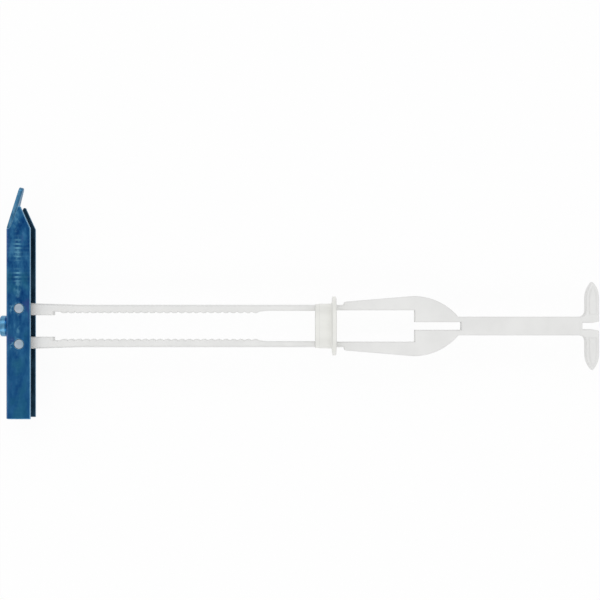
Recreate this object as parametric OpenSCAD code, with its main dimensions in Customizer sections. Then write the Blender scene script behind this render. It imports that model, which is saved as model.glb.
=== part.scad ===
// Strap toggle anchor for hollow walls.
// A folded steel channel turns behind the wall, a moulded pair of toothed straps
// holds it there, and a slotted collar slides along the straps to plug the hole.
//
// Units are millimetres. The bolt's line is the X axis. The origin is on that line,
// in the plane of the web's inner face, where the thread begins. +X runs along the
// straps to the pull handle, +Y along the channel to its nose, and the anchor lies
// on its side, with its flat faces up and down.

/* [Channel] */
// Outer width across the two flanges
channel_w = 9.5; // [8.8:0.1:12]
// Depth from the web's outer face to the flange edges
channel_depth = 6.95; // [6.4:0.05:9]
// Thickness of the folded sheet
sheet = 1.2; // [0.9:0.1:1.4]
// Inside radius of the two long folds
fold_r = 0.6; // [0.3:0.1:1]
// From the bolt's line to the square tail end
tail_l = 26; // [18:0.5:45]
// From the bolt's line to where the flanges start to narrow
nose_l = 27.4; // [18:0.5:45]
// Length of the pointed tip of each flange
tip_l = 6.2; // [4:0.1:9]
// From the web's inner face to the point of that tip
tip_x = 2.65; // [1.5:0.05:4]
// Length of the bent tongue that closes the nose
tongue_l = 12.25; // [6:0.25:16]
// Inward bend of the tongue, in degrees
tongue_angle = 15.5; // [5:0.5:20]
// Width of the tongue's rounded end
tongue_end_w = 2.6; // [1.6:0.1:4]
// Outer diameter of the drawn boss
boss_d = 5.9; // [5.4:0.1:8]
// Height of the boss above the web's outer face
boss_h = 2.2; // [1:0.05:4]
// Minor diameter of the thread in the boss
thread_d = 3.8; // [3:0.1:4.4]

/* [Straps] */
// Width of the moulding, across its flat faces
strap_w = 3.6; // [2.6:0.1:4]
// Radius of the crowned outer faces about the bolt's line
strap_r = 6; // [5.6:0.05:8]
// Thickness of a strap beside the handle, without teeth
plain_t = 1.7; // [1.2:0.05:2]
// Thickness of a strap between its teeth
root_t = 1.95; // [1.5:0.05:2.2]
// Height of a tooth
tooth_h = 0.42; // [0.2:0.02:0.6]
// Distance from tooth to tooth
tooth_pitch = 2.076; // [1.6:0.01:3]
// Number of teeth on each strap
teeth = 27; // [10:1:30]
// From the bolt seat plane to the first tooth
first_tooth_x = 14.6; // [13.5:0.1:18]
// Length of the moulding from the pins to the eye
strap_l = 90.9; // [88.5:0.1:120]

/* [Pins] */
// Distance between the two pins
pin_spacing = 10; // [9.5:0.1:14]
// Diameter of a pin
pin_d = 2.75; // [2:0.05:3]
// From the web's inner face to the pins
pin_x = 2.6; // [2.2:0.1:3.6]
// Thickness of an end block
block_t = 3.45; // [3:0.05:3.8]
// Length of an end block beyond its pin
block_l = 9.1; // [6:0.1:10.4]
// Length over which the outer face of a block tapers down to its strap
taper_l = 16.6; // [8:0.2:30]
// Radial play of a pin in its hole
pin_play = 0.05; // [0.02:0.01:0.1]

/* [Handle] */
// Half width of the eye where it starts
eye_start = 6.9; // [6.4:0.1:8]
// Half width of the eye at its widest
eye_half = 8.48; // [7:0.1:11]
// Length of the eye's window
window_l = 20; // [12:0.5:30]
// Radius of the arcs that close the eye
arch_r = 16.64; // [12:0.2:24]
// Width of the slot that splits the shaft
slot_w = 2.22; // [1:0.1:3]
// Length of that slot beyond the window
slot_l = 13.1; // [6:0.5:18]
// Width of the shaft
shaft_w = 5.24; // [4:0.1:8]
// From the pins to the handle's near side
handle_x = 159.2; // [140:0.1:190]
// Thickness of the handle along the straps
handle_t = 3.6; // [3:0.1:6]
// Length of the handle from tip to tip
handle_l = 24.8; // [20:0.1:34]
// Width of the handle across its flat faces
handle_w = 4; // [3.6:0.1:6]
// Width of the notch in the handle's end
notch_w = 1.84; // [1:0.1:2.6]
// Widening of the notch towards its mouth
notch_flare = 0.55; // [0:0.05:0.8]
// Radius of the fillets beside the shaft
fillet_r = 1.7; // [0.5:0.1:3]
// Length of the pointed tip of each arm
point_l = 4.6; // [2:0.1:6]

/* [Collar] */
// Diameter of the plug, which is the hole in the wall
plug_d = 12.7; // [12.6:0.1:18]
// Length of the plug, up to the flange
plug_l = 4.8; // [3.5:0.1:8]
// Diameter of the flange
flange_d = 16.65; // [15:0.1:24]
// Thickness of the flange
flange_t = 1.15; // [0.8:0.05:2]
// Diameter of the hole for the bolt
bolt_hole_d = 5.2; // [4.9:0.1:5.6]
// Play of the straps in the collar's slots
slide_play = 0.08; // [0.05:0.01:0.15]
// From the collar's flange to the eye
collar_gap = 2.1; // [1:0.1:10]

/* [Hidden] */
$fn = 64;

// Play between the end blocks and the flanges, and of the pawls over the teeth
side_play = 0.1;
pawl_play = 0.05;
// Radius at the point of each flange tip
tip_r = 0.5;
// Edge breaks of the collar's flange and of the boss
edge_r = 0.35;
boss_edge_r = 0.5;
// How far a pin stands off the middle of its block, towards the outside
pin_offset = 0.21;
// Step of the straps' inner faces beside the collar, which widens the eye's window
window_step = 0.15;
// How far before the window's end the eye is widest
arch_back = 0.4;
// Corner break at the start of the eye, and how far the notch cuts into the shaft
shoulder = 0.6;
notch_deep = 1.1;
// Rim and depth of the panels in the handle's arms, and their distance from the shaft
panel_rim = 0.75;
panel_depth = 0.3;
panel_gap = 0.4;
// Taper at the plug's leading end, and the break of its edge
lead = 0.1;
lead_l = 1.2;
plug_break = 0.08;
// Depth of the slots below the tooth tips, and the pawls' place and length
slot_drop = 0.4;
pawl_x = 0.3;
pawl_land = 0.3;
pawl_l = 1.4;
// Overlap that joins shapes, and a length longer than any cut
join = 1;
through = 200;

channel_in = channel_w / 2 - sheet;
flange_x = channel_depth - sheet;
pin_y = pin_spacing / 2;
hole_r = pin_d / 2 + pin_play;
strap_in = strap_r - plain_t;
root_y = strap_r - root_t;
crest_y = root_y - tooth_h;
// The block lies a little inside its pin, so that the pin is near its outer face
block_y = pin_y - pin_offset;
block_end = pin_x + block_l;
taper_end = pin_x + taper_l;
last_tooth_x = first_tooth_x + (teeth - 1) * tooth_pitch;
eye_x = pin_x + strap_l;
window_end = eye_x + window_l;
arch_x = window_end - arch_back;
head_x = pin_x + handle_x;
flange_end = eye_x - collar_gap;
plug_end = flange_end - flange_t - plug_l;
slot_in = crest_y - slot_drop;
window_half = strap_in + window_step;

// Turns a profile drawn in X and Z, and extruded up, to run along -Y
module along_y(length) {
    rotate([90, 0, 0]) linear_extrude(length) children();
}

// Turns a profile drawn as [x, radius] into a body round the bolt's line
module round_x() {
    rotate([0, 90, 0]) rotate_extrude() mirror([1, 0]) rotate(90) children();
}

// ---------------------------------------------------------------- channel

module web_corner(r, x, half) {
    translate([x + r, half - r]) circle(r);
}

// Solid section with its two web corners rounded, from x to the flange edges
module section(x, half, r) {
    for (side = [0, 1]) mirror([0, side]) web_corner(r, x, half);
    translate([x + r, -half]) square([flange_x - x - r, 2 * half]);
    translate([x, r - half]) square([r, 2 * (half - r)]);
}

module u_section() {
    difference() {
        section(-sheet, channel_w / 2, fold_r + sheet);
        union() {
            section(0, channel_in, fold_r);
            translate([flange_x - join, -channel_in]) square([2 * join, 2 * channel_in]);
        }
    }
}

// Side outline of the flanges: square tail, pointed tip
module flange_outline() {
    translate([-sheet, -tail_l]) square([channel_depth, tail_l + nose_l]);
    polygon([
        [0, nose_l], [tip_x - tip_r, nose_l + tip_l - tip_r],
        [tip_x + tip_r, nose_l + tip_l - tip_r], [flange_x, nose_l],
        [flange_x, nose_l - join], [0, nose_l - join]
    ]);
    translate([tip_x, nose_l + tip_l - tip_r]) circle(tip_r);
}

// Edge-on profile of the tongue: the fold, then the straight part
module tongue_profile() {
    bend_r = fold_r + sheet;
    translate([fold_r, nose_l]) {
        intersection() {
            difference() {
                circle(bend_r);
                circle(fold_r);
            }
            polygon([
                [0, 0], [-2 * bend_r, 0],
                [-2 * bend_r * cos(tongue_angle), 2 * bend_r * sin(tongue_angle)]
            ]);
        }
        rotate(-tongue_angle) translate([-bend_r, 0]) square([sheet, tongue_l]);
    }
}

// Face-on outline of the tongue, drawn in Y and Z
module tongue_outline() {
    end_r = tongue_end_w / 2;
    base = channel_w / 2 - fold_r - sheet;
    far = nose_l + tongue_l * cos(tongue_angle);
    translate([far - end_r, 0]) circle(end_r);
    polygon([
        [nose_l - join, base], [nose_l + join, base], [far - end_r, end_r],
        [far - end_r, -end_r], [nose_l + join, -base], [nose_l - join, -base]
    ]);
}

module tongue() {
    intersection() {
        linear_extrude(channel_w, center = true) tongue_profile();
        translate([-through / 2, 0, 0]) rotate([90, 0, 90])
            linear_extrude(through) tongue_outline();
    }
}

module boss() {
    top = sheet + boss_h;
    r = boss_d / 2;
    round_x() {
        translate([-top + boss_edge_r, 0]) square([top - boss_edge_r - sheet / 2, r]);
        translate([-top, 0]) square([top, r - boss_edge_r]);
        translate([-top + boss_edge_r, r - boss_edge_r]) circle(boss_edge_r);
    }
}

module channel() {
    color([0.12, 0.36, 0.62]) difference() {
        union() {
            intersection() {
                translate([0, nose_l + tip_l + join, 0])
                    along_y(tail_l + nose_l + tip_l + 2 * join) u_section();
                linear_extrude(channel_w + join, center = true) flange_outline();
            }
            tongue();
            boss();
        }
        translate([-through / 2, 0, 0]) rotate([0, 90, 0])
            cylinder(d = thread_d, h = through);
        for (side = [-1, 1]) translate([pin_x, side * pin_y, 0])
            cylinder(r = hole_r, h = through, center = true);
    }
}

// ----------------------------------------------------------------- straps

// Inner face of the toothed stretch: rounded teeth that meet in sharp roots
function tooth_points() = [
    for (i = [0 : teeth - 1], u = [-0.5, -0.34, -0.16, 0, 0.16, 0.34])
        [first_tooth_x + (i + u) * tooth_pitch, root_y - tooth_h * cos(180 * u)]
];

// Side outline of one strap, from its end block to the eye
module strap_outline() {
    out = strap_r + join;
    block_in = block_y - block_t / 2;
    translate([pin_x, block_y]) circle(d = block_t);
    polygon(concat(
        [[pin_x, out], [pin_x, block_in], [block_end, block_in], [block_end, root_y]],
        tooth_points(),
        [
            [last_tooth_x + tooth_pitch / 2, root_y],
            [last_tooth_x + 1.5 * tooth_pitch, strap_in],
            [plug_end, strap_in], [flange_end, window_half],
            [eye_x + join, window_half], [eye_x + join, out]
        ]
    ));
}

// The outer faces are crowned: they follow this body, round the bolt's line
module crown() {
    block_out = block_y + block_t / 2;
    round_x() polygon([
        [-join, 0], [-join, block_out], [pin_x, block_out], [taper_end, strap_r],
        [eye_x + 2 * join, strap_r], [eye_x + 2 * join, 0]
    ]);
}

module strap() {
    intersection() {
        linear_extrude(strap_w, center = true) strap_outline();
        crown();
    }
    // Round hub between the flanges, and the pin through them
    translate([pin_x, block_y, 0])
        cylinder(d = block_t, h = 2 * (channel_in - side_play), center = true);
    translate([pin_x, pin_y, 0]) cylinder(d = pin_d, h = channel_w, center = true);
}

// Pointed arch about the X axis: two arcs that spring from half, at x
module arch(x, half, r) {
    intersection() {
        translate([x, half - r]) circle(r, $fn = 180);
        translate([x, r - half]) circle(r, $fn = 180);
        translate([x, -half]) square([r, 2 * half]);
    }
}

module eye_outline() {
    polygon([
        [eye_x, strap_in], [eye_x, eye_start - shoulder], [eye_x + shoulder, eye_start],
        [arch_x, eye_half], [arch_x, -eye_half], [eye_x + shoulder, -eye_start],
        [eye_x, shoulder - eye_start], [eye_x, -strap_in]
    ]);
    arch(arch_x, eye_half, arch_r);
}

// One arm of the handle, from the middle of the shaft to its pointed tip
module arm_outline(inset) {
    half = handle_t / 2;
    spring = handle_l / 2 - point_l;
    point_r = (half * half + point_l * point_l) / (2 * half);
    rotate(90) {
        translate([0, inset - half]) square([spring, 2 * (half - inset)]);
        arch(spring, half - inset, point_r - inset);
    }
}

module handle_outline() {
    translate([head_x + handle_t / 2, 0])
        for (side = [0, 1]) mirror([0, side]) arm_outline(0);
}

// Quarter-round webs between the shaft and the arms
module fillets() {
    for (side = [0, 1]) mirror([0, side])
        translate([head_x - fillet_r, shaft_w / 2]) difference() {
            square([fillet_r + join, fillet_r]);
            translate([0, fillet_r]) circle(fillet_r);
        }
}

module notch_outline() {
    half = notch_w / 2;
    mouth = head_x + handle_t + join;
    translate([head_x - notch_deep, -half]) square([mouth - head_x + notch_deep, notch_w]);
    polygon([
        [head_x + handle_t / 2, half], [mouth, half + notch_flare],
        [mouth, -half - notch_flare], [head_x + handle_t / 2, -half]
    ]);
}

module panels() {
    for (face = [0, 1], side = [0, 1]) mirror([0, 0, face]) mirror([0, side, 0])
        translate([head_x + handle_t / 2, 0, handle_w / 2 - panel_depth])
            linear_extrude(join) difference() {
                arm_outline(panel_rim);
                translate([-handle_t, -join])
                    square([2 * handle_t, shaft_w / 2 + panel_gap + join]);
            }
}

module straps() {
    color([0.9, 0.91, 0.89]) {
        difference() {
            union() {
                for (side = [0, 1]) mirror([0, side, 0]) strap();
                linear_extrude(strap_w, center = true) difference() {
                    union() {
                        eye_outline();
                        translate([arch_x, -shaft_w / 2])
                            square([head_x - arch_x + join, shaft_w]);
                    }
                    translate([eye_x - join, -window_half])
                        square([window_end - eye_x + join, 2 * window_half]);
                    translate([window_end - join, -slot_w / 2])
                        square([slot_l + join, slot_w]);
                }
                linear_extrude(handle_w, center = true) {
                    handle_outline();
                    fillets();
                    translate([head_x - fillet_r, -shaft_w / 2])
                        square([fillet_r + join, shaft_w]);
                }
            }
            linear_extrude(handle_w + join, center = true) notch_outline();
            panels();
        }
    }
}

// ----------------------------------------------------------------- collar

module collar_blank() {
    plug_r = plug_d / 2;
    flange_back = plug_end + plug_l;
    round_x() {
        polygon([
            [plug_end, 0], [plug_end, plug_r - lead - plug_break],
            [plug_end + plug_break, plug_r - lead], [plug_end + lead_l, plug_r],
            [flange_back, plug_r], [flange_back, 0]
        ]);
        translate([flange_back, 0]) square([flange_t, flange_d / 2 - edge_r]);
        translate([flange_back, 0]) square([flange_t - edge_r, flange_d / 2]);
        translate([flange_back + flange_t - edge_r, flange_d / 2 - edge_r]) circle(edge_r);
    }
}

// Slot for one strap, with a curved outer wall
module strap_slot() {
    intersection() {
        translate([plug_end - join, slot_in, -strap_w / 2 - slide_play])
            cube([plug_l + flange_t + 2 * join, strap_r, strap_w + 2 * slide_play]);
        rotate([0, 90, 0]) cylinder(r = strap_r + slide_play, h = through);
    }
}

// Wedge on the slot's inner wall that clicks over the teeth
module pawl() {
    foot = slot_in - slot_drop / 2;
    top = crest_y - pawl_play;
    back = plug_end + pawl_x;
    linear_extrude(strap_w, center = true) polygon([
        [back, foot], [back, top], [back + pawl_land, top], [back + pawl_l, foot]
    ]);
}

module collar() {
    color([0.93, 0.94, 0.92]) {
        difference() {
            collar_blank();
            rotate([0, 90, 0]) cylinder(d = bolt_hole_d, h = through);
            for (side = [0, 1]) mirror([0, side, 0]) strap_slot();
        }
        for (side = [0, 1]) mirror([0, side, 0]) pawl();
    }
}

channel();
straps();
collar();
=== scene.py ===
"""Strap toggle anchor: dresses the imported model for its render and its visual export.

The frame is the CAD's own: metres, +X along the straps to the handle, +Y along the
channel to its nose, +Z up. Sizes below are millimetres and pass through MM.
"""

import math

import bpy
import numpy as np
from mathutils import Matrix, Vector
from mathutils.geometry import delaunay_2d_cdt


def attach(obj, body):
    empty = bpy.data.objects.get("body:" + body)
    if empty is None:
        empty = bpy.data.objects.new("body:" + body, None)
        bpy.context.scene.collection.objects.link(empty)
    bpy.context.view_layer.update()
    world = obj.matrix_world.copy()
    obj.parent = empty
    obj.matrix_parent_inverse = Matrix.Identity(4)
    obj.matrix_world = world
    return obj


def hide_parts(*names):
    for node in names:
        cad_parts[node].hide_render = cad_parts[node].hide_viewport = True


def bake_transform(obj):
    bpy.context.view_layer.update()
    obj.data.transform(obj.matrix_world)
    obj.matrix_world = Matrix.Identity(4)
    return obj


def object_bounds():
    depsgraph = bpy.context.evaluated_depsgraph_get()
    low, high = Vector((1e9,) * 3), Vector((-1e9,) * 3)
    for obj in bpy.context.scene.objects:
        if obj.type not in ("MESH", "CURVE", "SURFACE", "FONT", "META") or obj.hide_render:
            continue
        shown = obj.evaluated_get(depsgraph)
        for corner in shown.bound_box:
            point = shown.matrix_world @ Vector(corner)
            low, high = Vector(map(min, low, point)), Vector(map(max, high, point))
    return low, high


MM = 0.001

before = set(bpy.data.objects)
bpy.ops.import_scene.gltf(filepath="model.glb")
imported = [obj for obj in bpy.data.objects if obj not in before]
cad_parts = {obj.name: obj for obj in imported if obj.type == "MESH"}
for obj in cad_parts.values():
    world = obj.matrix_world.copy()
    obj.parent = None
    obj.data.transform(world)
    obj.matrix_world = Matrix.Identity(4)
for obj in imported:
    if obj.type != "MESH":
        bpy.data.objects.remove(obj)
cad_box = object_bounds()

# ---------------------------------------------------------------- sizes, in mm

# Endings of the names: _X, _START and _END are places along X, and _Y along Y. _R is a radius,
# _D a diameter, _T a thickness, _W a width along Z, _H a height, _L a length, _HALF half of a size
# and _EDGE the size of a rounded edge.

# Straps. Their outer faces follow a cylinder of STRAP_R about the bolt's line.
STRAP_W = 3.6
STRAP_R = 6.0
CROWN_Y = 4.6
PLAIN_T = 1.7
ROOT_T = 1.95
TOOTH_H = 0.42
TOOTH_PITCH = 2.076
TEETH = 27
FIRST_TOOTH_X = 14.6
STRAP_EDGE = 0.3

# End blocks, with their pins and hubs.
PIN_X = 2.6
PIN_Y = 5.0
PIN_D = 2.75
PIN_R = PIN_D / 2 - 0.06
PIN_EDGE = 0.15
HUB_R = PIN_D / 2 + 0.3
HUB_Y = PIN_Y - 0.18
HUB_EDGE = 0.1
SIDE_PLAY = 0.1
BLOCK_T = 3.45
BLOCK_Y = PIN_Y - 0.21
BLOCK_END = PIN_X + 9.1
TAPER_END = PIN_X + 16.6

# Eye, with its window, and the slot that splits the start of the shaft.
EYE_X = PIN_X + 90.9
SHOULDER_Y = 6.9
EYE_HALF = 8.48
SHOULDER_R = 0.6
SHOULDER_CUT = 0.18
CROWN_END = EYE_X - 0.05
WINDOW_HALF = STRAP_R - PLAIN_T + 0.15
FLARE_START = EYE_X - 8
WINDOW_START = EYE_X - 2
WINDOW_END = EYE_X + 20.0
ARCH_R = 16.64
ARCH_X = WINDOW_END - 0.4
SLOT_HALF = 1.11
SLOT_END = WINDOW_END + 13.1
SHAFT_HALF = 2.62

# Handle. It is wider than the straps, from STEP_X on, and its notch flares towards its end. Each arm
# ends in a point ARM_POINT long, between two arcs of ARM_R.
HEAD_X = PIN_X + 159.2
HEAD_T = 3.6
HEAD_HALF = 12.4
HEAD_W = 4.0
NOTCH_HALF = 0.92
NOTCH_FLARE = 0.55 * 0.67
NOTCH_X = HEAD_X - 1.1
FILLET_R = 1.7
STEP_L = 0.25
STEP_X = HEAD_X - FILLET_R - STEP_L
LIGHT_START = HEAD_X - 0.1
ARM_POINT = 4.6
ARM_R = (HEAD_T ** 2 / 4 + ARM_POINT ** 2) / HEAD_T
ARM_SPRING_Y = HEAD_HALF - ARM_POINT
PANEL_RIM = 0.55
PANEL_FOOT = 0.4
PANEL_DEPTH = 0.3
PANEL_SLOPE = 0.5
PANEL_SOFT = 0.08
PANEL_LIP = 0.03

# Collar. PLUG_STEPS are how far in and how far up from the plug's end its side steps.
PLUG_END = EYE_X - 8.05
PLUG_R = 12.7 / 2
LEAD_L = 1.25
LEAD_FLAT_L = 1
PLUG_STEPS = (0, 3.5), (0.03, 3.4), (0.03, LEAD_L), (0.1, 1.1), (0.1, 0.2), (0.13, 0.06), (0.18, 0)
FLANGE_END = EYE_X - 2.1
FLANGE_T = 1.15
FLANGE_R = 16.65 / 2
RIM_R = 0.3
BACK_RIM_R = 0.15
COLLAR_FILLET = 0.6
BOLT_HOLE_R = 2.6
BOLT_HOLE_EDGE = 0.12
SLIDE_PLAY = 0.08
SLOT_IN_Y = STRAP_R - ROOT_T - TOOTH_H - 0.4
SLOT_MOUTH = 0.15
SLOT_EDGE = 0.04

# Pawl in each slot, with a sloped side towards the flange.
PAWL_H = 0.35
PAWL_FOOT_X = PLUG_END + 1.7
PAWL_CREST_X = PLUG_END + 0.6
PAWL_LIP_X = PLUG_END + 0.35
PAWL_BACK_X = PLUG_END + 0.3

# Channel, as a flat blank that is folded. In the blank, u runs across it, v along it as Y does,
# and w out of its outer face.
SHEET = 1.2
SHEET_EDGE = 0.2
CHANNEL_W = 9.5
CHANNEL_IN_HALF = CHANNEL_W / 2 - SHEET
FOLD_R = 0.6
MID_R = FOLD_R + SHEET / 2
FOLD_AT = CHANNEL_W / 2 - FOLD_R - SHEET
FOLD_L = MID_R * math.pi / 2
FOLD_STEPS = 8
FLANGE_U = FOLD_AT + FOLD_L
FLANGE_X = 5.75
TAIL_Y = -26.0
NOSE_Y = 27.4
TIP_L = 6.2
TIP_X = 2.65
TIP_R = 0.5
TONGUE_L = 12.25
TONGUE_HALF = FOLD_AT - 0.02
TONGUE_ANGLE = math.radians(15.5)
TONGUE_BENDS = [NOSE_Y + MID_R * TONGUE_ANGLE * k / 5 for k in range(1, 6)]
TONGUE_END_R = 1.3
HOLE_R = PIN_D / 2 + 0.05
HOLE_EDGE = 0.1

# Boss, in the darker plated finish up to its neck's height as painted shade at its root, with its thread,
# which runs out in a mouth at each end.
BOSS_R = 5.9 / 2
BOSS_H = 2.2
BOSS_EDGE = 0.5
BOSS_FOOT_IN = 0.04
BOSS_FOOT_H = 0.15
BOSS_SHADED_NECK_H = 0.6
THREAD_R = 1.9
THREAD_DEPTH = 0.42
THREAD_PITCH = 25.4 / 24
THREAD_ROWS = 46
THREAD_SEGMENTS = 64
MOUTH_FLARE = 0.3
MOUTH_TOP = 0.45
MOUTH_BACK = 0.35

# Finishes, as places in the list of materials of a plastic piece and of the channel.
# The second plastic finish is a darker nylon: painted shade along edges, sides and panel slopes.
# The third plastic finish greys the pin ends as painted shade, with a painted blue reflection.
PLASTIC, EDGE_SHADE, PIN_SHADE = range(3)
# The channel's last two finishes are darker copies of its steel: painted shade on its inside and on its
# tongue.
PLATED, SHEARED, SHADED_INSIDE, SHADED_TONGUE = range(4)

# --------------------------------------------------------------------- camera

PHOTO_PX = 600
PX_PER_MM = 3.538
CAMERA_X = 81.17
AXIS_PX = 326.0
CAMERA_HEIGHT = 420.0


def make_camera():
    """Camera that looks straight down, with the bolt's line at AXIS_PX from the top."""
    data = bpy.data.cameras.new("camera")
    camera = bpy.data.objects.new("camera", data)
    bpy.context.scene.collection.objects.link(camera)
    half = PHOTO_PX / 2
    y = (AXIS_PX - half) / PX_PER_MM
    camera.location = (CAMERA_X * MM, y * MM, CAMERA_HEIGHT * MM)
    data.sensor_fit = "HORIZONTAL"
    data.angle = 2 * math.atan(half / PX_PER_MM / CAMERA_HEIGHT)
    data.clip_start = 0.01
    data.clip_end = 10
    bpy.context.scene.camera = camera


# ------------------------------------------------------------------ materials

# Plating: places in the clouds from low to high, and their colours.
PLATING_CLOUDS = (
    (0.30, (0.004, 0.048, 0.200)), (0.45, (0.014, 0.100, 0.275)),
    (0.56, (0.026, 0.142, 0.325)), (0.70, (0.052, 0.205, 0.400)),
)
GREEN_TINT = (0.020, 0.150, 0.235)
VIOLET_TINT = (0.045, 0.070, 0.270)
DRAWN_BLUE = (0.017, 0.110, 0.275)
# Colour of the painted highlights along each flange's middle and on the draw marks, and of the scuffs beside
# the pins.
HIGHLIGHT_AND_SCUFF_BLUE = (0.165, 0.440, 0.620)

# Draw marks, which also carry a painted highlight: the pitch of their waves, and the middle and reach of each
# band along Y, in mm.
DRAW_PITCH = 1.15
DRAW_BANDS = (21.6, 4.4), (14.1, 2.6)

# Plainer steel: places in the streaks, and the colours there on each kind of face. The inside's and the
# tongue's colours are darker copies, painted shade.
STREAK_STOPS = (0.35, 0.52, 0.68)
EDGE_COLOURS = (0.070, 0.220, 0.400), (0.110, 0.310, 0.500), (0.200, 0.420, 0.600)
# Tongue: a darker copy of the edge colours, painted shade.
TONGUE_SHADE_COLOURS = (0.040, 0.140, 0.260), (0.065, 0.200, 0.350), (0.120, 0.280, 0.420)
INSIDE_SHADE_COLOURS = (0.016, 0.050, 0.092), (0.026, 0.074, 0.125), (0.042, 0.110, 0.175)

# Nylon: the darkest clouds as a share of the colour, and the pin ends' painted shade and painted blue
# reflection of the plating.
CLOUD_SHADE = 0.96
PIN_SHADE_GREYS = (0.330, 0.400, 0.470), (0.400, 0.470, 0.550)
PIN_REFLECTED_BLUE = (0.190, 0.360, 0.480)


class Nodes:
    """Short helpers for building the node tree of a material or the world."""

    def __init__(self, owner):
        owner.use_nodes = True
        self.tree = owner.node_tree
        self.shader = self.tree.nodes.get("Principled BSDF")

    def new(self, kind, **values):
        node = self.tree.nodes.new(kind)
        for key, value in values.items():
            setattr(node, key, value)
        return node

    def link(self, out, into):
        self.tree.links.new(out, into)

    def coords(self, scale):
        place = self.new("ShaderNodeTexCoord")
        mapping = self.new("ShaderNodeMapping")
        mapping.inputs["Scale"].default_value = scale
        self.link(place.outputs["Object"], mapping.inputs["Vector"])
        return mapping.outputs["Vector"]

    def axis(self, letter):
        place = self.new("ShaderNodeTexCoord")
        split = self.new("ShaderNodeSeparateXYZ")
        self.link(place.outputs["Object"], split.inputs["Vector"])
        return split.outputs[letter]

    def noise(self, scale, detail=3, stretch=(1, 1, 1), rough=0.5):
        node = self.new("ShaderNodeTexNoise")
        node.inputs["Scale"].default_value = scale
        node.inputs["Detail"].default_value = detail
        node.inputs["Roughness"].default_value = rough
        self.link(self.coords(stretch), node.inputs["Vector"])
        return node.outputs["Fac"]

    def ramp(self, fac, stops):
        node = self.new("ShaderNodeValToRGB")
        ramp = node.color_ramp
        while len(ramp.elements) < len(stops):
            ramp.elements.new(0.5)
        for element, (place, colour) in zip(ramp.elements, stops):
            element.position = place
            element.color = (*colour, 1)
        self.link(fac, node.inputs["Fac"])
        return node.outputs["Color"]

    def grey(self, fac, low, high, out_low, out_high, easing="LINEAR"):
        """Brings fac from between low and high to between out_low and out_high."""
        node = self.new("ShaderNodeMapRange", interpolation_type=easing)
        numbers = {"From Min": low, "From Max": high, "To Min": out_low, "To Max": out_high}
        for key, number in numbers.items():
            node.inputs[key].default_value = number
        self.link(fac, node.inputs["Value"])
        return node.outputs["Result"]

    def bell(self, value, centre, reach):
        """1 where the value is at the centre, easing to 0 at reach from it."""
        away = self.math("ABSOLUTE", self.math("SUBTRACT", value, centre))
        return self.grey(away, 0, reach, 1, 0, "SMOOTHSTEP")

    def math(self, operation, *values):
        node = self.new("ShaderNodeMath", operation=operation)
        for socket, value in zip(node.inputs, values):
            if isinstance(value, (int, float)):
                socket.default_value = value
            else:
                self.link(value, socket)
        return node.outputs["Value"]

    def times(self, first, *others):
        for other in others:
            first = self.math("MULTIPLY", first, other)
        return first

    def mix(self, fac, a, b):
        """Colour from a to b. A Mix node's colours are its sockets 6 and 7, and its output 2."""
        node = self.new("ShaderNodeMix", data_type="RGBA")
        for socket, value in ((node.inputs[0], fac), (node.inputs[6], a), (node.inputs[7], b)):
            if isinstance(value, tuple):
                socket.default_value = (*value, 1)
            else:
                self.link(value, socket)
        return node.outputs[2]

    def mix_shaders(self, fac, a, b):
        node = self.new("ShaderNodeMixShader")
        for socket, out in zip(node.inputs, (fac, a, b)):
            self.link(out, socket)
        return node.outputs["Shader"]

    def rays(self, first, second):
        """1 for rays of these two kinds, and 0 for the others."""
        path = self.new("ShaderNodeLightPath")
        return self.math("MAXIMUM", path.outputs[f"Is {first} Ray"], path.outputs[f"Is {second} Ray"])

    def bump(self, height, strength, distance):
        node = self.new("ShaderNodeBump")
        node.inputs["Strength"].default_value = strength
        node.inputs["Distance"].default_value = distance
        self.link(height, node.inputs["Height"])
        self.link(node.outputs["Normal"], self.shader.inputs["Normal"])


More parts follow.
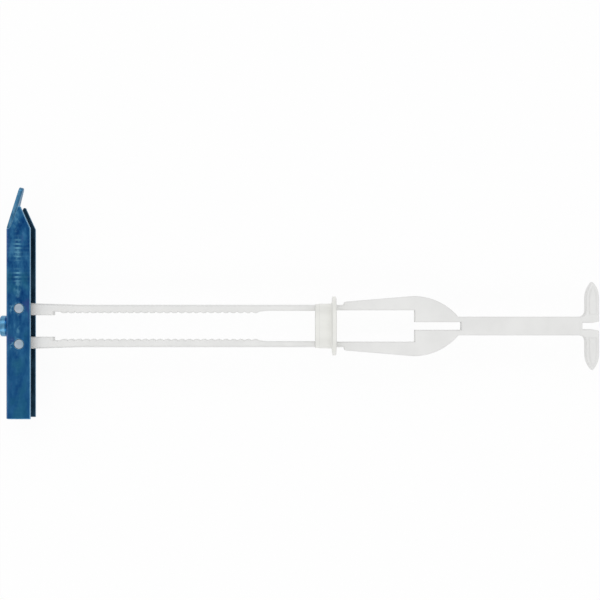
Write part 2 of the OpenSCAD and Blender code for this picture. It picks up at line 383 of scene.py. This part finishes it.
def plated_steel():
    """Blue zinc plating: satin and clouded, with drawing marks across the nose that carry a painted
    highlight, a painted highlight along each flange's middle, and bright scuffs.
    """
    material = bpy.data.materials.new("plated_steel")
    n = Nodes(material)
    x, y = n.axis("X"), n.axis("Y")

    # Clouds, with more contrast towards the nose, and two tints over them.
    contrast = n.grey(y, -12 * MM, 10 * MM, 0.55, 1.2)
    clouds = n.math("SUBTRACT", n.noise(460, 6, (1, 0.45, 1), 0.64), 0.5)
    clouds = n.math("MULTIPLY_ADD", clouds, contrast, 0.5)
    tint = n.noise(190, 3, (1, 0.6, 1))
    base = n.ramp(clouds, PLATING_CLOUDS)
    base = n.mix(n.grey(tint, 0.56, 0.68, 0, 0.45), base, GREEN_TINT)
    base = n.mix(n.grey(tint, 0.44, 0.34, 0, 0.60), base, VIOLET_TINT)

    # Draw marks with a painted highlight: bright waves along the middle of each flange, where a painted
    # highlight strip runs, strong in the two bands and faint elsewhere.
    middle = n.bell(x, (PIN_X - 0.4) * MM, 1.5 * MM)
    bands = n.math("MAXIMUM", *(n.bell(y, centre * MM, reach * MM) for centre, reach in DRAW_BANDS))
    bands = n.math("MINIMUM", n.times(bands, 1.7), 1)
    base = n.mix(n.times(bands, middle, 0.75), base, DRAWN_BLUE)
    wander = n.times(n.noise(300, 1), 3)
    waves = n.math("SINE", n.math("MULTIPLY_ADD", y, 2 * math.pi / (DRAW_PITCH * MM), wander))
    waves = n.times(n.grey(waves, 0.0, 0.7, 0, 1), n.grey(n.noise(700, 2), 0.35, 0.55, 0.55, 1))
    draw_marks_and_highlight = n.times(waves, n.math("MULTIPLY_ADD", bands, 0.97, 0.03))
    draw_marks_and_highlight = n.times(draw_marks_and_highlight, n.math("MULTIPLY_ADD", middle, 0.92, 0.08))

    # Painted highlight patches along the middle, and scuffs beside the pins.
    patches = n.grey(n.noise(900, 3, (1, 0.7, 1)), 0.50, 0.64, 0, 0.5)
    patches = n.times(patches, middle, n.grey(y, -9 * MM, -2 * MM, 0.1, 1))
    by_pin = n.bell(n.math("SUBTRACT", n.math("ABSOLUTE", y), PIN_Y * MM), 0, 2.0 * MM)
    by_pin = n.times(by_pin, n.bell(x, 0.6 * MM, 1.0 * MM))
    scuffs = n.times(n.grey(n.noise(1500, 3), 0.48, 0.60, 0, 0.8), by_pin)
    # Painted highlights and real scuffs share one colour.
    highlights_and_scuffs = n.math("MAXIMUM", draw_marks_and_highlight, n.math("MAXIMUM", patches, scuffs))
    n.link(n.mix(highlights_and_scuffs, base, HIGHLIGHT_AND_SCUFF_BLUE), n.shader.inputs["Base Color"])

    n.shader.inputs["Metallic"].default_value = 1.0
    n.link(n.grey(clouds, 0.3, 0.7, 0.28, 0.42), n.shader.inputs["Roughness"])
    grain = n.noise(2600, 3, (0.5, 1, 0.5))
    n.bump(n.math("MULTIPLY_ADD", draw_marks_and_highlight, 0.5, grain), 0.2, 0.04 * MM)
    return material


def plain_steel(name, colours, roughness, scale, stretch):
    """Plainer faces of the plated sheet, in the colours of its streaks from low to high."""
    material = bpy.data.materials.new(name)
    n = Nodes(material)
    streaks = n.noise(scale, 4, (1, stretch, 1), 0.6)
    n.link(n.ramp(streaks, list(zip(STREAK_STOPS, colours))), n.shader.inputs["Base Color"])
    n.shader.inputs["Metallic"].default_value = 1.0
    n.link(n.grey(streaks, 0.35, 0.7, roughness, roughness + 0.12), n.shader.inputs["Roughness"])
    n.bump(streaks, 0.3, 0.04 * MM)
    return material


def moulded_plastic(name, colour, roughness):
    """Moulded nylon: faint clouding and a fine eggshell surface."""
    material = bpy.data.materials.new(name)
    n = Nodes(material)
    clouds = n.noise(160, 3)
    low = tuple(CLOUD_SHADE * c for c in colour)
    n.link(n.mix(n.grey(clouds, 0.35, 0.65, 0, 1), low, colour), n.shader.inputs["Base Color"])
    n.link(n.grey(clouds, 0.3, 0.7, roughness - 0.05, roughness + 0.06), n.shader.inputs["Roughness"])
    n.bump(n.noise(5200, 2), 0.12, 0.02 * MM)
    return material


def shaded_pin_plastic():
    """Pin ends: the same nylon, greyed as painted shade from the plating round it, with a painted cold blue
    reflection of the plating to one side.
    """
    material = bpy.data.materials.new("shaded_pin_plastic")
    n = Nodes(material)
    clouds = n.grey(n.noise(700, 3), 0.35, 0.65, 0, 1)
    reflected_blue = n.grey(n.axis("X"), (PIN_X + 0.3) * MM, (PIN_X + 1.3) * MM, 0, 0.8)
    n.link(n.mix(reflected_blue, n.mix(clouds, *PIN_SHADE_GREYS), PIN_REFLECTED_BLUE), n.shader.inputs["Base Color"])
    n.shader.inputs["Roughness"].default_value = 0.42
    n.bump(clouds, 0.15, 0.04 * MM)
    return material


# ------------------------------------------------------------- mesh functions


def arc(cx, cy, radius, start, end, count):
    """Points on an arc, angles in degrees."""
    angles = np.radians(np.linspace(start, end, count))
    return [(cx + radius * math.cos(a), cy + radius * math.sin(a)) for a in angles]


def circle(cx, cy, radius, count, clockwise=False):
    """Points round a circle."""
    turn = (360, 0) if clockwise else (0, 360)
    return arc(cx, cy, radius, *turn, count + 1)[:-1]


def quarter_turn(steps):
    """Angles from 0 to 90 degrees in even steps, in radians."""
    return [math.pi / 2 * k / steps for k in range(steps + 1)]


def points_between(a, b, count):
    """Points from a up to b, without b, in count even steps."""
    return [(a[0] + (b[0] - a[0]) * i / count, a[1] + (b[1] - a[1]) * i / count) for i in range(count)]


def line(a, b, step=1.0):
    """Points from a up to b, without b, about step apart."""
    return points_between(a, b, max(1, round(math.dist(a, b) / step)))


def mirrored(points):
    """The same points on the other side of the X axis, in reverse order."""
    return [(x, -y) for x, y in points[::-1]]


def places_in(loop, axis, value):
    """Which points of the loop have this value on the axis."""
    return [i for i, p in enumerate(loop) if abs(p[axis] - value) < 1e-6]


def inset(loop, amount):
    """The loop moved to its left by amount, which is into the material."""
    p = np.array(loop)
    before = p - np.roll(p, 1, axis=0)
    after = np.roll(p, -1, axis=0) - p
    a, b = (np.stack([-v[:, 1], v[:, 0]], 1) / np.linalg.norm(v, axis=1)[:, None] for v in (before, after))
    mean = a + b
    mean /= np.linalg.norm(mean, axis=1)[:, None]
    cosine = np.clip((mean * a).sum(1), 0.6, 1)
    return [tuple(q) for q in p + mean * (amount / cosine)[:, None]]


def inside(points, loop):
    """Which of the points lie inside the loop."""
    a = np.array(loop)
    b = np.roll(a, -1, axis=0)
    x, y = points[:, :1], points[:, 1:]
    crosses = (a[:, 1] > y) != (b[:, 1] > y)
    rise = np.where(b[:, 1] == a[:, 1], 1, b[:, 1] - a[:, 1])
    at = a[:, 0] + (y - a[:, 1]) / rise * (b[:, 0] - a[:, 0])
    return (crosses & (x < at)).sum(1) % 2 == 1


def edge_profile(top, bottom, edge, rows):
    """Inset and height of each ring round a plate's side, with both its edges rounded in four rings."""
    rounded = [(edge * (1 - math.sin(a)), edge * (1 - math.cos(a))) for a in quarter_turn(3)]
    profile = [(i, top - d) for i, d in rounded]
    high, low = top - edge, bottom + edge
    profile += [(0, high + (low - high) * k / rows) for k in range(1, rows)]
    return profile + [(i, bottom + d) for i, d in rounded[::-1]]


class Shell:
    """One closed mesh in the making: rings joined by walls, and caps that face up or down."""

    def __init__(self):
        self.points = []
        self.faces = []
        self.finishes = []
        self.finish = 0

    def ring(self, points):
        first = len(self.points)
        self.points += [tuple(float(c) for c in p) for p in points]
        return list(range(first, len(self.points)))

    def rings(self, loop, profile):
        """Rings of the loop at each inset and height, joined from the first down to the last."""
        made = [self.ring([(x, y, z) for x, y in inset(loop, amount)]) for amount, z in profile]
        self.walls(made)
        return made

    def walls(self, rings):
        """Walls from each ring down to the next."""
        for high, low in zip(rings, rings[1:]):
            self.wall(high, low)

    def wall(self, high, low):
        for i in range(len(high)):
            j = (i + 1) % len(high)
            self.add((high[j], high[i], low[i], low[j]))

    def add(self, face):
        self.faces.append(face)
        self.finishes.append(self.finish)

    def cap(self, outer, holes=(), up=True, lines=()):
        """Triangles from the outer ring in to the holes. A line runs between two places in the outer ring,
        by way of the points between them."""
        index, edges, loops = [], [], []
        for ring in (outer, *holes):
            first = len(index)
            edges += [(first + k, first + (k + 1) % len(ring)) for k in range(len(ring))]
            loops.append([self.points[i][:2] for i in ring])
            index += ring
        level = self.points[outer[0]][2]
        for start, *middle, end in lines:
            route = [start, *range(len(index), len(index) + len(middle)), end]
            index += self.ring([(x, y, level) for x, y in middle])
            edges += zip(route, route[1:])
        flat = [Vector(self.points[i][:2]) for i in index]
        points, _, triangles, source, _, _ = delaunay_2d_cdt(flat, edges, [], 1, 1e-6)
        middles = np.array([np.mean([points[i] for i in t], axis=0) for t in triangles])
        keep = inside(middles, loops[0])
        for hole in loops[1:]:
            keep &= ~inside(middles, hole)
        for triangle, kept in zip(triangles, keep):
            if kept:
                corners = [index[source[i][0]] for i in triangle]
                self.add(tuple(corners if up else corners[::-1]))

    def refinish(self, finish, chosen, keep=None):
        """Gives a finish to each face whose points are all chosen, unless it has the one to keep."""
        for index, face in enumerate(self.faces):
            if self.finishes[index] != keep and all(chosen(self.points[i]) for i in face):
                self.finishes[index] = finish

    def build(self, name, materials, place=lambda p: p):
        """The finished object, its points put through place and turned from millimetres to metres."""
        mesh = bpy.data.meshes.new(name)
        mesh.from_pydata([tuple(c * MM for c in place(p)) for p in self.points], [], self.faces)
        for material in materials:
            mesh.materials.append(material)
        mesh.polygons.foreach_set("material_index", self.finishes)
        obj = bpy.data.objects.new(name, mesh)
        bpy.context.scene.collection.objects.link(obj)
        return obj


def smooth(obj):
    """Smooth shading, in which large faces keep their own direction."""
    obj.data.shade_smooth()
    modifier = obj.modifiers.new("even_shading", "WEIGHTED_NORMAL")
    modifier.weight = 80


def join(obj, tools):
    """Joins the tools to the object, as one closed mesh."""
    for tool in tools:
        joined = obj.modifiers.new("joined", "BOOLEAN")
        joined.operation = "UNION"
        joined.solver = "EXACT"
        joined.object = tool
    bpy.context.view_layer.update()
    whole = bpy.data.meshes.new_from_object(obj.evaluated_get(bpy.context.evaluated_depsgraph_get()))
    obj.modifiers.clear()
    for tool in tools:
        bpy.data.objects.remove(tool)
    obj.data = whole


# ------------------------------------------------------------------- moulding


def inner_face():
    """Inner face of the upper strap, from its block to the end of the window."""
    root = STRAP_R - ROOT_T
    plain = STRAP_R - PLAIN_T
    samples = 10
    points = []
    for tooth in range(TEETH):
        for k in range(samples):
            u = k / samples - 0.5
            points.append((FIRST_TOOTH_X + (tooth + u) * TOOTH_PITCH, root - TOOTH_H * math.cos(math.pi * u)))
    last = FIRST_TOOTH_X + (TEETH - 0.5) * TOOTH_PITCH
    ramp = last + TOOTH_PITCH
    points += line((last, root), (ramp, plain), 0.7)
    points += line((ramp, plain), (FLARE_START, plain))
    points += line((FLARE_START, plain), (WINDOW_START, WINDOW_HALF))
    return points + line((WINDOW_START, WINDOW_HALF), (WINDOW_END, WINDOW_HALF))


def arm_sides():
    """Pointed end of the upper arm: its near side going up, and its far side coming down."""
    sweep = math.degrees(math.asin(ARM_POINT / ARM_R))
    near = arc(HEAD_X + ARM_R, ARM_SPRING_Y, ARM_R, 180, 180 - sweep, 10)
    far = arc(HEAD_X + HEAD_T - ARM_R, ARM_SPRING_Y, ARM_R, sweep, 0, 10)
    return near, far[1:]


def handle_side():
    """Upper half of the handle in plan, from its notch round to the foot of its fillet."""
    near, far = arm_sides()
    middle = (HEAD_X + HEAD_T / 2, NOTCH_HALF)
    flared = (HEAD_X + HEAD_T, NOTCH_HALF + NOTCH_FLARE)
    foot = (HEAD_X, SHAFT_HALF + FILLET_R)
    points = line((NOTCH_X, NOTCH_HALF), middle) + line(middle, flared, 0.7)
    points += line(flared, far[-1]) + far[::-1] + near[::-1]
    points += line(near[0], foot)[1:]
    return points + arc(HEAD_X - FILLET_R, foot[1], FILLET_R, 0, -90, 8)


def upper_outline():
    """Upper half of the moulding in plan, from its notch round to the end of its slot."""
    points = handle_side()
    spring = math.degrees(math.acos((ARCH_R - EYE_HALF + SHAFT_HALF) / ARCH_R))
    arch = arc(ARCH_X, EYE_HALF - ARCH_R, ARCH_R, 90 - spring, 90, 30)
    shoulder = [
        (EYE_X + SHOULDER_R, SHOULDER_Y), (EYE_X + SHOULDER_CUT, SHOULDER_Y - SHOULDER_CUT),
        (EYE_X, SHOULDER_Y - SHOULDER_R), (EYE_X, STRAP_R),
    ]
    points += line((STEP_X, SHAFT_HALF), arch[0], 1.5) + arch
    points += line(arch[-1], shoulder[0])[1:] + shoulder

    block_r = BLOCK_T / 2
    block_in = BLOCK_Y - block_r
    root = STRAP_R - ROOT_T
    points += line((CROWN_END, STRAP_R), (TAPER_END, STRAP_R))
    points += line((TAPER_END, STRAP_R), (PIN_X, BLOCK_Y + block_r))
    points += arc(PIN_X, BLOCK_Y, block_r, 90, 270, 20)
    points += line((PIN_X, block_in), (BLOCK_END, block_in))[1:]
    points += line((BLOCK_END, block_in), (BLOCK_END, root), 0.5)
    points += line((BLOCK_END, root), (FIRST_TOOTH_X - TOOTH_PITCH / 2, root), 0.7)
    points += inner_face()
    points += line((WINDOW_END, WINDOW_HALF), (WINDOW_END, SLOT_HALF), 0.6)
    return points + line((WINDOW_END, SLOT_HALF), (SLOT_END, SLOT_HALF)) + [(SLOT_END, SLOT_HALF)]


def panel_outline(margin):
    """The sunk panel in the upper arm, margin in from the arm's edge."""
    half = HEAD_T / 2 - margin
    radius = ARM_R - margin
    sweep = math.degrees(math.acos((radius - half) / radius))
    middle = HEAD_X + HEAD_T / 2
    bottom = SHAFT_HALF + PANEL_FOOT + margin - PANEL_RIM
    left, right = middle - half, middle + half
    loop = points_between((left, bottom), (right, bottom), 4)
    loop += points_between((right, bottom), (right, ARM_SPRING_Y), 8)
    loop += arc(right - radius, ARM_SPRING_Y, radius, 0, sweep, 9)
    loop += arc(left + radius, ARM_SPRING_Y, radius, 180 - sweep, 180, 9)[1:]
    return loop + points_between((left, ARM_SPRING_Y), (left, bottom), 8)[1:]


def sink_panel(shell, flip, sign):
    """One panel with sloped sides, in the arm on side flip and the face on side sign; returns its rim."""
    top = STRAP_W / 2
    floor = top - PANEL_DEPTH * STRAP_W / HEAD_W
    slope = [
        (0, top), (PANEL_SOFT, top - PANEL_LIP),
        (PANEL_SLOPE - PANEL_SOFT, floor + PANEL_LIP), (PANEL_SLOPE, floor),
    ]
    rings = []
    for margin, z in slope:
        panel = [(x, flip * y, sign * z) for x, y in panel_outline(PANEL_RIM + margin)]
        rings.append(shell.ring(panel[::flip]))
    # Painted shade: the panel's sloped sides take the darker nylon, as nested lines.
    shell.finish = EDGE_SHADE
    shell.walls(rings[::-1] if sign > 0 else rings)
    shell.finish = PLASTIC
    shell.cap(rings[-1], up=sign > 0)
    return rings[0]


def crowned(point):
    """The straps' outer faces follow a cylinder about the bolt's line, and the handle is wider."""
    x, y, z = point
    if x <= EYE_X:
        share = min(1, max(0, (abs(y) - CROWN_Y) / (STRAP_R - CROWN_Y)))
        y -= math.copysign(STRAP_R - math.sqrt(STRAP_R ** 2 - z * z), y) * share
    rise = min(1, max(0, (x - STEP_X) / STEP_L))
    return x, y, z * (1 + (HEAD_W / STRAP_W - 1) * rise)


def pin_and_hub(side):
    """Solid of one pin with its round hub, to be joined to the block."""
    shell = Shell()
    pin_half = CHANNEL_W / 2
    hub_half = CHANNEL_IN_HALF - SIDE_PLAY
    pin = circle(PIN_X, side * PIN_Y, PIN_R, 48)
    hub = circle(PIN_X, side * HUB_Y, HUB_R, 48)
    ends = edge_profile(pin_half, -pin_half, PIN_EDGE, 1)
    half_way = len(ends) // 2
    # Painted shade and painted reflection on the pin ends.
    shell.finish = PIN_SHADE
    top = shell.rings(pin, ends[:half_way] + [(0, hub_half)])
    shell.finish = PLASTIC
    middle = shell.rings(hub, edge_profile(hub_half, -hub_half, HUB_EDGE, 2))
    shell.finish = PIN_SHADE
    bottom = shell.rings(pin, [(0, -hub_half)] + ends[half_way:])
    shell.wall(top[-1], middle[0])
    shell.wall(middle[-1], bottom[0])
    shell.cap(top[0])
    shell.cap(bottom[-1], up=False)
    return shell


def strap_moulding(materials):
    """Straps, eye, shaft and handle as one solid, with its pins."""
    upper = upper_outline()
    loop = upper + mirrored(upper)
    half = STRAP_W / 2
    shell = Shell()
    # Painted shade: the sides take the darker nylon, as dark lines along the outline.
    shell.finish = EDGE_SHADE
    side = shell.rings(loop, edge_profile(half, -half, STRAP_EDGE, 6))
    # The handle's sides are as light as its faces.
    shell.refinish(PLASTIC, lambda p: p[0] > LIGHT_START)
    step = tuple(places_in(loop, 0, STEP_X))
    base = tuple(places_in(loop, 0, HEAD_X - FILLET_R))
    for ring, sign in ((side[0], 1), (side[-1], -1)):
        rims = [sink_panel(shell, flip, sign) for flip in (1, -1)]
        shell.cap(ring, rims, up=sign > 0, lines=[step, base])
    obj = shell.build("strap_moulding", materials, crowned)
    join(obj, [pin_and_hub(flip).build("pin", materials) for flip in (1, -1)])
    smooth(obj)
    return obj


# --------------------------------------------------------------------- collar


def slot_loop(side):
    """Clockwise outline of one strap slot, in Y and Z."""
    half = STRAP_W / 2 + SLIDE_PLAY
    radius = STRAP_R + SLIDE_PLAY
    reach = math.degrees(math.asin(half / radius))
    end = radius * math.cos(math.radians(reach))
    loop = line((SLOT_IN_Y, -half), (end, -half), 0.5) + arc(0, 0, radius, -reach, reach, 12)
    loop += line((end, half), (SLOT_IN_Y, half), 0.5)[1:] + line((SLOT_IN_Y, half), (SLOT_IN_Y, -half), 0.5)
    return loop[::-1] if side > 0 else [(-y, z) for y, z in loop]


def slot_walls(shell, side):
    """Walls of one slot with the pawl on its inner face; returns its end rings."""
    # How far the slot opens out, the place along X, and how far the pawl stands up there.
    stations = [
        (SLOT_MOUTH, FLANGE_END, 0), (SLOT_EDGE, FLANGE_END - SLOT_EDGE, 0),
        (0, FLANGE_END - SLOT_MOUTH, 0), (0, PAWL_FOOT_X, 0), (0, PAWL_CREST_X, PAWL_H),
        (0, PAWL_LIP_X, PAWL_H), (0, PAWL_BACK_X, 0), (0, PLUG_END + SLOT_EDGE, 0), (SLOT_EDGE, PLUG_END, 0),
    ]
    loop = slot_loop(side)
    rings = []
    for amount, x, rise in stations:
        points = []
        for (y, z), (rest_y, _) in zip(inset(loop, amount), loop):
            on_inner = abs(abs(rest_y) - SLOT_IN_Y) < 1e-6
            points.append((y + side * rise * on_inner, z, x))
        rings.append(shell.ring(points))
    shell.walls(rings)
    return rings[0], rings[-1]


def collar_profile():
    """Radius and height of each ring down the outside, from the flange's face to the plug's end."""
    back = FLANGE_END - FLANGE_T
    face_r, face_x = FLANGE_R - RIM_R, FLANGE_END - RIM_R
    back_r, back_x = FLANGE_R - BACK_RIM_R, back + BACK_RIM_R
    foot_r, foot_x = PLUG_R + COLLAR_FILLET, back - COLLAR_FILLET
    turn = quarter_turn(4)
    profile = [(face_r + RIM_R * math.sin(a), face_x + RIM_R * math.cos(a)) for a in turn]
    profile += [(back_r + BACK_RIM_R * math.cos(a), back_x - BACK_RIM_R * math.sin(a)) for a in turn]
    profile += [(foot_r - COLLAR_FILLET * math.sin(a), foot_x + COLLAR_FILLET * math.cos(a)) for a in turn]
    return profile + [(PLUG_R - cut, PLUG_END + up) for cut, up in PLUG_STEPS]


def collar(materials):
    """Slotted plug with its flange; built standing on end, then laid along X."""
    shell = Shell()
    profile = collar_profile()
    outer = [shell.ring([(y, z, x) for y, z in circle(0, 0, radius, 128)]) for radius, x in profile]
    for high, low, (_, x) in zip(outer, outer[1:], profile):
        # Painted shade: the plug's end, its lead step and the flange face's rounded edge take the darker
        # nylon, as dark lines.
        at_lead = abs(x - PLUG_END - LEAD_L) < 1e-6
        on_edge = at_lead or x <= PLUG_END + LEAD_FLAT_L or x >= FLANGE_END - RIM_R / 2
        shell.finish = EDGE_SHADE if on_edge else PLASTIC
        shell.wall(high, low)
    shell.finish = PLASTIC
    hole = circle(0, 0, BOLT_HOLE_R, 64, clockwise=True)
    bore = shell.rings(hole, edge_profile(FLANGE_END, PLUG_END, BOLT_HOLE_EDGE, 4))
    slots = [slot_walls(shell, side) for side in (1, -1)]
    shell.cap(outer[0], [bore[0], slots[0][0], slots[1][0]])
    shell.cap(outer[-1], [bore[-1], slots[0][1], slots[1][1]], up=False)
    obj = shell.build("slotted_collar", materials, lambda p: (p[2], p[0], p[1]))
    smooth(obj)
    return obj


# -------------------------------------------------------------------- channel


def flat_x(x):
    """Place in the flat blank of a point x along a flange."""
    return FLANGE_U + x - FOLD_R


def fold_lines():
    """Places across the right half of the blank at which its fold is divided."""
    return [FOLD_AT + FOLD_L * k / FOLD_STEPS for k in range(FOLD_STEPS + 1)]


def right_side():
    """Right half of the blank's outline, from the middle of the tail up to the tongue's end."""
    folds = fold_lines()
    edge = flat_x(FLANGE_X)
    points = [(0, TAIL_Y)] + [(u, TAIL_Y) for u in folds] + line((FLANGE_U + 1, TAIL_Y), (edge, TAIL_Y), 1.5)
    points += line((edge, TAIL_Y), (edge, NOSE_Y), 3)
    top = NOSE_Y + TIP_L - TIP_R
    points += line((edge, NOSE_Y), (flat_x(TIP_X + TIP_R), top), 1.5)
    points += arc(flat_x(TIP_X), top, TIP_R, 0, 180, 11)[:-1]
    start = flat_x(0)
    slope = (TIP_L - TIP_R) / (TIP_X - TIP_R)
    points += line((flat_x(TIP_X - TIP_R), top), (FLANGE_U, NOSE_Y + slope * (FLANGE_U - start)), 1.5)
    points += [(u, NOSE_Y + slope * max(0, u - start)) for u in folds[::-1]]
    end = NOSE_Y + TONGUE_L - SHEET / 2 * math.sin(TONGUE_ANGLE) - TONGUE_END_R
    points += [(TONGUE_HALF, v) for v in TONGUE_BENDS]
    points += line((TONGUE_HALF, NOSE_Y + 1), (TONGUE_END_R, end), 0.8)
    return points + arc(0, end, TONGUE_END_R, 0, 90, 10)


def folded(point):
    """A point of the flat blank, with w out of its outer face, on the folded channel."""
    u, v, w = point
    radius = MID_R + w
    s = abs(u) - FOLD_AT
    if s > FOLD_L:
        return FOLD_R + s - FOLD_L, v, math.copysign(FOLD_AT + radius, u)
    if s > 0:
        a = s / MID_R
        return FOLD_R - radius * math.cos(a), v, math.copysign(FOLD_AT + radius * math.sin(a), u)
    if v <= NOSE_Y:
        return FOLD_R - radius, v, u
    a = min((v - NOSE_Y) / MID_R, TONGUE_ANGLE)
    beyond = v - NOSE_Y - a * MID_R
    x = FOLD_R - radius * math.cos(a) + beyond * math.sin(a)
    return x, NOSE_Y + radius * math.sin(a) + beyond * math.cos(a), u


def thread_radius(w, angle, room):
    """Radius of the threaded bore at height w; room runs from 0 at its two mouths to 1 in between."""
    phase = (w / THREAD_PITCH + angle / (2 * math.pi)) % 1
    # Sloped flanks, with a flat crest and a flat root.
    groove = max(0, min(1, 1.25 * (1 - abs(2 * phase - 1)) - 0.1))
    return THREAD_R + THREAD_DEPTH * groove * room + MOUTH_FLARE * (1 - room)


def boss(shell):
    """Drawn boss with its threaded bore; returns its rings in the outer and inner faces."""
    half = SHEET / 2
    top = half + BOSS_H
    core = BOSS_R - BOSS_EDGE
    crest = top - BOSS_EDGE
    profile = [(BOSS_R - BOSS_FOOT_IN, half), (BOSS_R, half + BOSS_FOOT_H), (BOSS_R, half + BOSS_SHADED_NECK_H)]
    profile += [(core + BOSS_EDGE * math.cos(a), crest + BOSS_EDGE * math.sin(a)) for a in quarter_turn(5)]
    profile += [(THREAD_R + MOUTH_TOP, top)]
    rings = []
    for radius, w in profile:
        rings.append(shell.ring([(u, v, w) for u, v in circle(0, 0, radius, THREAD_SEGMENTS, True)]))
    angles = [-2 * math.pi * k / THREAD_SEGMENTS for k in range(THREAD_SEGMENTS)]
    for row in range(1, THREAD_ROWS):
        w = top - (top + half) * row / THREAD_ROWS
        room = min(1, (top - w) / MOUTH_TOP, (w + half) / MOUTH_BACK)
        points = []
        for a in angles:
            radius = thread_radius(w, a, room)
            points.append((radius * math.cos(a), radius * math.sin(a), w))
        rings.append(shell.ring(points))
    mouth = circle(0, 0, THREAD_R + MOUTH_BACK, THREAD_SEGMENTS, True)
    rings.append(shell.ring([(u, v, -half) for u, v in mouth]))
    # Painted shade at the root: the boss's neck keeps the darker plated finish, while the rest of it takes
    # the paler sheared finish.
    shell.finish = PLATED
    shell.walls(rings[:3])
    shell.finish = SHEARED
    shell.walls(rings[2:])
    return rings[0], rings[-1]


def crease_lines(loop):
    """Lines across the blank's faces, along which it folds and its tongue bends."""
    lines = []
    for u in fold_lines():
        low, high = [i for i in places_in(loop, 0, u) if abs(loop[i][1]) > NOSE_Y / 2][:2]
        lines += [(low, (u, TAIL_Y + 1), (u, NOSE_Y - 1), high)]
        lines += [(len(loop) - low, (-u, TAIL_Y + 1), (-u, NOSE_Y - 1), len(loop) - high)]
    return lines + [tuple(places_in(loop, 1, v)) for v in TONGUE_BENDS]


def channel(materials):
    """Blank with rounded edges and its pin holes, folded into the channel."""
    right = right_side()
    loop = right + [(-u, v) for u, v in right[-2:0:-1]]
    half = SHEET / 2
    shell = Shell()
    profile = edge_profile(half, -half, SHEET_EDGE, 2)
    shell.finish = SHEARED
    upper = shell.rings(loop, profile[:-3])
    # Painted shade: the lower rounding of each edge takes the darker inside colours.
    shell.finish = SHADED_INSIDE
    lower = shell.rings(loop, profile[-3:])
    shell.wall(upper[-1], lower[0])
    boss_rings = boss(shell)
    outer, inner = [boss_rings[0]], [boss_rings[1]]
    shell.finish = SHEARED
    for u in (-flat_x(PIN_X), flat_x(PIN_X)):
        for v in (-PIN_Y, PIN_Y):
            hole = circle(u, v, HOLE_R, 48, clockwise=True)
            rings = shell.rings(hole, edge_profile(half, -half, HOLE_EDGE, 2))
            outer.append(rings[0])
            inner.append(rings[-1])
    lines = crease_lines(loop)
    shell.finish = PLATED
    shell.cap(upper[0], outer, lines=lines)
    # Painted shade over the whole inner face.
    shell.finish = SHADED_INSIDE
    shell.cap(lower[-1], inner, up=False, lines=lines)
    # Painted shade: the tongue's edges and inner face take darker colours, which damp the highlight on its
    # rounded edge.
    shell.refinish(SHADED_TONGUE, lambda p: p[1] > NOSE_Y and abs(p[0]) < FOLD_AT, keep=PLATED)
    obj = shell.build("toggle_channel", materials, folded)
    smooth(obj)
    return obj


# ---------------------------------------------------------------------- stage

# Floor and lamps, in metres and watts.
FLOOR_HALF = 3.0
FLOOR_GAP = 0.0002
FLOOR_GLOW = 0.94
SKY_STRENGTH = 0.66
LAMP_POWER = 2.3
LAMP_SIZE = (1.4, 0.4)
LAMPS = {"upper_box": (0.06, 0.62, 0.60), "lower_box": (0.06, -0.62, 0.60)}
LAMP_AIM = (0.08, 0, 0)


def make_stage():
    """Pale floor below the part that the camera sees as white, with the part's faint shadow."""
    material = bpy.data.materials.new("stage_floor")
    n = Nodes(material)
    n.shader.inputs["Base Color"].default_value = (0.9, 0.9, 0.9, 1)
    n.shader.inputs["Roughness"].default_value = 0.9
    n.shader.inputs["Specular IOR Level"].default_value = 0
    glow = n.new("ShaderNodeEmission")
    glow.inputs["Strength"].default_value = 1.0
    shown = n.times(n.rays("Camera", "Glossy"), FLOOR_GLOW)
    surface = n.mix_shaders(shown, n.shader.outputs["BSDF"], glow.outputs["Emission"])
    n.link(surface, n.tree.nodes["Material Output"].inputs["Surface"])
    z = cad_box[0].z - FLOOR_GAP
    corners = [(-1, -1), (1, -1), (1, 1), (-1, 1)]
    mesh = bpy.data.meshes.new("floor")
    mesh.from_pydata([(FLOOR_HALF * x, FLOOR_HALF * y, z) for x, y in corners], [], [(0, 1, 2, 3)])
    mesh.materials.append(material)
    floor = bpy.data.objects.new("floor", mesh)
    bpy.context.scene.collection.objects.link(floor)


def make_light():
    """Even world light, white to the camera, with two soft boxes overhead."""
    scene = bpy.context.scene
    world = bpy.data.worlds.new("studio")
    scene.world = world
    n = Nodes(world)
    sky = n.tree.nodes["Background"]
    sky.inputs["Color"].default_value = (1, 1, 1, 1)
    sky.inputs["Strength"].default_value = SKY_STRENGTH
    white = n.new("ShaderNodeBackground")
    white.inputs["Strength"].default_value = 1.0
    surface = n.mix_shaders(n.rays("Camera", "Transmission"), sky.outputs[0], white.outputs[0])
    n.link(surface, n.tree.nodes["World Output"].inputs["Surface"])
    for name, place in LAMPS.items():
        data = bpy.data.lights.new(name, "AREA")
        data.shape = "RECTANGLE"
        data.size, data.size_y = LAMP_SIZE
        data.energy = LAMP_POWER
        lamp = bpy.data.objects.new(name, data)
        scene.collection.objects.link(lamp)
        lamp.location = place
        lamp.rotation_euler = (Vector(LAMP_AIM) - Vector(place)).to_track_quat("-Z", "Y").to_euler()
    scene.view_settings.view_transform = "Standard"


# ------------------------------------------------------------------- assembly

make_camera()
make_stage()
make_light()

straps = strap_moulding([
    moulded_plastic("strap_plastic", (0.83, 0.83, 0.82), 0.42),
    moulded_plastic("strap_edge_shade", (0.80, 0.80, 0.79), 0.45),
    shaded_pin_plastic(),
])
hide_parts("straps")
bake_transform(straps)

slider = collar([
    moulded_plastic("collar_plastic", (0.86, 0.86, 0.825), 0.40),
    moulded_plastic("collar_edge_shade", (0.80, 0.80, 0.77), 0.42),
])
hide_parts("collar")
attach(slider, "collar")

toggle = channel([
    plated_steel(),
    plain_steel("sheared_edge", EDGE_COLOURS, 0.32, scale=900, stretch=0.3),
    plain_steel("shaded_inside", INSIDE_SHADE_COLOURS, 0.42, scale=400, stretch=0.4),
    plain_steel("tongue_edge_shade", TONGUE_SHADE_COLOURS, 0.34, scale=900, stretch=0.3),
])
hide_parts("channel")
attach(toggle, "channel")
